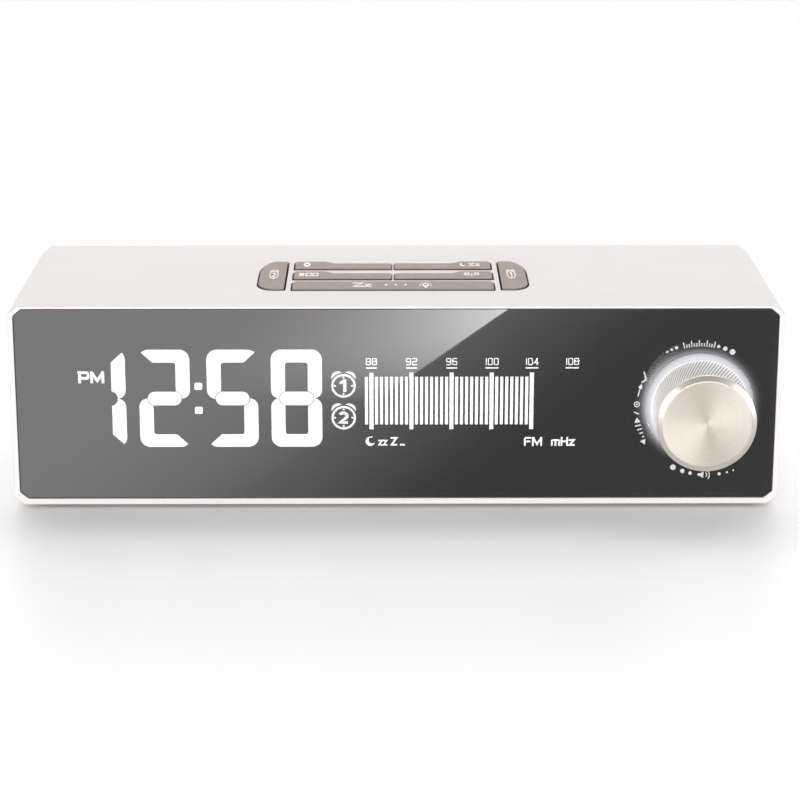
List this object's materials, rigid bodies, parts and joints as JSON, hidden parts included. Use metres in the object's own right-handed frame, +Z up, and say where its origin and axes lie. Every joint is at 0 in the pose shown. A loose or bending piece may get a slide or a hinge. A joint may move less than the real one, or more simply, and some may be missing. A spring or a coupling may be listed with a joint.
{
  "type": "clock radio",
  "caption": "Slim white clock radio with a smoked full-width front lens over an LCD clock and tuning scale, a knurled push knob with a light ring, and push buttons on top.",
  "frame": {"origin": "centre of the footprint, on the surface the feet stand on", "axes": "+X to the right seen from the front, +Y backwards, so the front lens faces -Y, +Z up"},
  "size_m": [0.215, 0.094, 0.0592],
  "materials": {
    "housing": "satin-gloss moulded white plastic",
    "lens": "polished smoked transparent acrylic",
    "button": "satin silver-brown metallic paint",
    "knob": "champagne anodised, spun face and knurled rim",
    "light_guide": "milky translucent",
    "black_plastic": "fine matt moulded texture",
    "lcd": "dark display glass with light segments",
    "rubber": "matt black rubber",
    "circuit_board": "green solder mask",
    "steel": "bright zinc plate",
    "paper": "pressed dark paper"
  },
  "bodies": {
    "case": {"housing_sleeve": "housing", "rear_cover": "housing", "battery_door": "housing", "front_lens": "lens", "lcd_light_guide": "light_guide", "knob_light_ring": "light_guide", "display_frame": "black_plastic", "dc_jack": "black_plastic", "battery_holder": "black_plastic", "snooze_switch": "black_plastic", "set_switch": "black_plastic", "sleep_switch": "black_plastic", "memory_switch": "black_plastic", "band_switch": "black_plastic", "alarm_two_switch": "black_plastic", "alarm_one_switch": "black_plastic", "lcd_glass": "lcd", "foot_1": "rubber", "foot_2": "rubber", "foot_3": "rubber", "foot_4": "rubber", "zebra_strip_upper": "rubber", "zebra_strip_lower": "rubber", "antenna_grommet": "rubber", "display_board": "circuit_board", "key_board": "circuit_board", "main_board": "circuit_board", "encoder_housing": "steel", "encoder_push_dome": "steel", "speaker_frame": "steel", "speaker_magnet": "steel", "backup_cell": "steel", "rear_cover_screw_1": "steel", "rear_cover_screw_2": "steel", "rear_cover_screw_3": "steel", "rear_cover_screw_4": "steel", "key_board_screw_1": "steel", "key_board_screw_2": "steel", "main_board_screw_1": "steel", "main_board_screw_2": "steel", "speaker_cone": "paper"},
    "encoder_rotor": {"encoder_rotor": "black_plastic"},
    "knob": {"knob_body": "knob", "knob_face": "knob", "encoder_shaft": "steel"},
    "snooze_key": {"snooze_button": "button", "snooze_switch_plunger": "black_plastic"},
    "set_key": {"set_button": "button", "set_switch_plunger": "black_plastic"},
    "sleep_key": {"sleep_button": "button", "sleep_switch_plunger": "black_plastic"},
    "memory_key": {"memory_button": "button", "memory_switch_plunger": "black_plastic"},
    "band_key": {"band_button": "button", "band_switch_plunger": "black_plastic"},
    "alarm_two_key": {"alarm_two_button": "button", "alarm_two_switch_plunger": "black_plastic"},
    "alarm_one_key": {"alarm_one_button": "button", "alarm_one_switch_plunger": "black_plastic"}
  },
  "joints": [
    {"name": "knob_turn", "type": "hinge", "parent": "case", "child": "encoder_rotor", "pos_m": [0.08465, -0.0229, 0.03], "axis": [0, -1, 0], "continuous": true},
    {"name": "knob_press", "type": "slide", "parent": "encoder_rotor", "child": "knob", "axis": [0, 1, 0], "range_m": [0, 0.0005], "stiffness_N_per_m": 800, "springref_m": -0.0005},
    {"name": "snooze_press", "type": "slide", "parent": "case", "child": "snooze_key", "axis": [0, 0, -1], "range_m": [0, 0.0005], "stiffness_N_per_m": 500, "springref_m": -0.0005},
    {"name": "set_press", "type": "slide", "parent": "case", "child": "set_key", "axis": [0, 0, -1], "range_m": [0, 0.0005], "stiffness_N_per_m": 500, "springref_m": -0.0005},
    {"name": "sleep_press", "type": "slide", "parent": "case", "child": "sleep_key", "axis": [0, 0, -1], "range_m": [0, 0.0005], "stiffness_N_per_m": 500, "springref_m": -0.0005},
    {"name": "memory_press", "type": "slide", "parent": "case", "child": "memory_key", "axis": [0, 0, -1], "range_m": [0, 0.0005], "stiffness_N_per_m": 500, "springref_m": -0.0005},
    {"name": "band_press", "type": "slide", "parent": "case", "child": "band_key", "axis": [0, 0, -1], "range_m": [0, 0.0005], "stiffness_N_per_m": 500, "springref_m": -0.0005},
    {"name": "alarm_two_press", "type": "slide", "parent": "case", "child": "alarm_two_key", "axis": [0, 0, -1], "range_m": [0, 0.0005], "stiffness_N_per_m": 500, "springref_m": -0.0005},
    {"name": "alarm_one_press", "type": "slide", "parent": "case", "child": "alarm_one_key", "axis": [0, 0, -1], "range_m": [0, 0.0005], "stiffness_N_per_m": 500, "springref_m": -0.0005}
  ]
}
